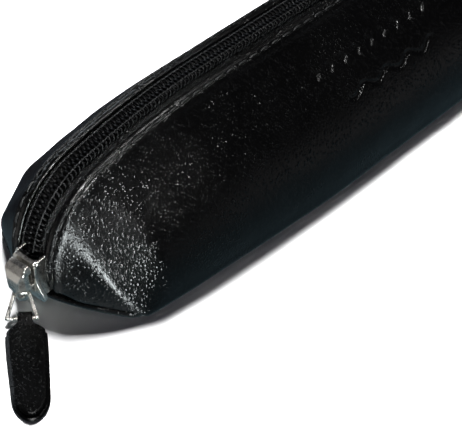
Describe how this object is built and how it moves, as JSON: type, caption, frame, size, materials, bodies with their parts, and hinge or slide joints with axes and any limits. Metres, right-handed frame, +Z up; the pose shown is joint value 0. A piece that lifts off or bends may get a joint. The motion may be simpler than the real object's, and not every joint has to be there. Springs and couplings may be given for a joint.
{
  "type": "zipped fountain pen case",
  "caption": "Slim upright pen case of pebbled leather on a flat base, closed by a central zip that runs up one end, along the top and down the other, with a leather pull tab.",
  "frame": {"origin": "centre of the base's underside, on the surface that the case stands on", "axes": "+X along the case, away from the end where the closed slider rests; -Y towards the front wall; +Z up"},
  "size_m": [0.2193, 0.0572, 0.0369],
  "materials": {
    "grain_leather": "pebbled grain, semi-gloss",
    "tab_leather": "smooth grain, semi-gloss",
    "lining_cloth": "woven, matt",
    "zip_tape": "woven nylon, slight sheen",
    "zip_coil": "moulded nylon",
    "thread": "twisted polyester",
    "greyboard": "pressed board, matt",
    "nickel": "satin nickel plate",
    "spring_steel": "plain"
  },
  "bodies": {
    "base": {"leather_base": "grain_leather", "base_board": "greyboard", "lining_base": "lining_cloth", "tape_end_near": "zip_tape", "tape_end_far": "zip_tape", "coil_end_near": "zip_coil", "coil_end_far": "zip_coil"},
    "front_wall": {"leather_front": "grain_leather", "lining_front": "lining_cloth", "zip_tape_front": "zip_tape", "zip_coil_front": "zip_coil", "stitching_front": "thread"},
    "back_wall": {"leather_back": "grain_leather", "lining_back": "lining_cloth", "zip_tape_back": "zip_tape", "zip_coil_back": "zip_coil", "stitching_back": "thread"},
    "slider": {"slider_body": "nickel", "slider_crown": "nickel", "slider_lock_spring": "spring_steel"},
    "link": {"pull_link": "nickel"},
    "tab": {"tab_leather": "tab_leather", "tab_core": "greyboard"}
  },
  "joints": [
    {"name": "front_fold", "type": "hinge", "parent": "base", "child": "front_wall", "pos_m": [0, -0.0282, 0.0023], "axis": [1, 0, 0], "range_deg": [0, 30]},
    {"name": "back_fold", "type": "hinge", "parent": "base", "child": "back_wall", "pos_m": [0, 0.0282, 0.0023], "axis": [-1, 0, 0], "range_deg": [0, 30]},
    {"name": "slider_travel", "type": "hinge", "parent": "base", "child": "slider", "pos_m": [-0.074, 0, 0.0105], "axis": [0, 1, 0], "range_deg": [0, 66]},
    {"name": "link_swing", "type": "hinge", "parent": "slider", "child": "link", "pos_m": [-0.09854, 0, 0.00424], "axis": [-0.7071, 0.7071, 0], "range_deg": [0, 60]},
    {"name": "tab_swing", "type": "hinge", "parent": "link", "child": "tab", "pos_m": [-0.10268, -0.00414, 0.00165], "axis": [-0.7071, 0.7071, 0], "range_deg": [0, 30]}
  ]
}
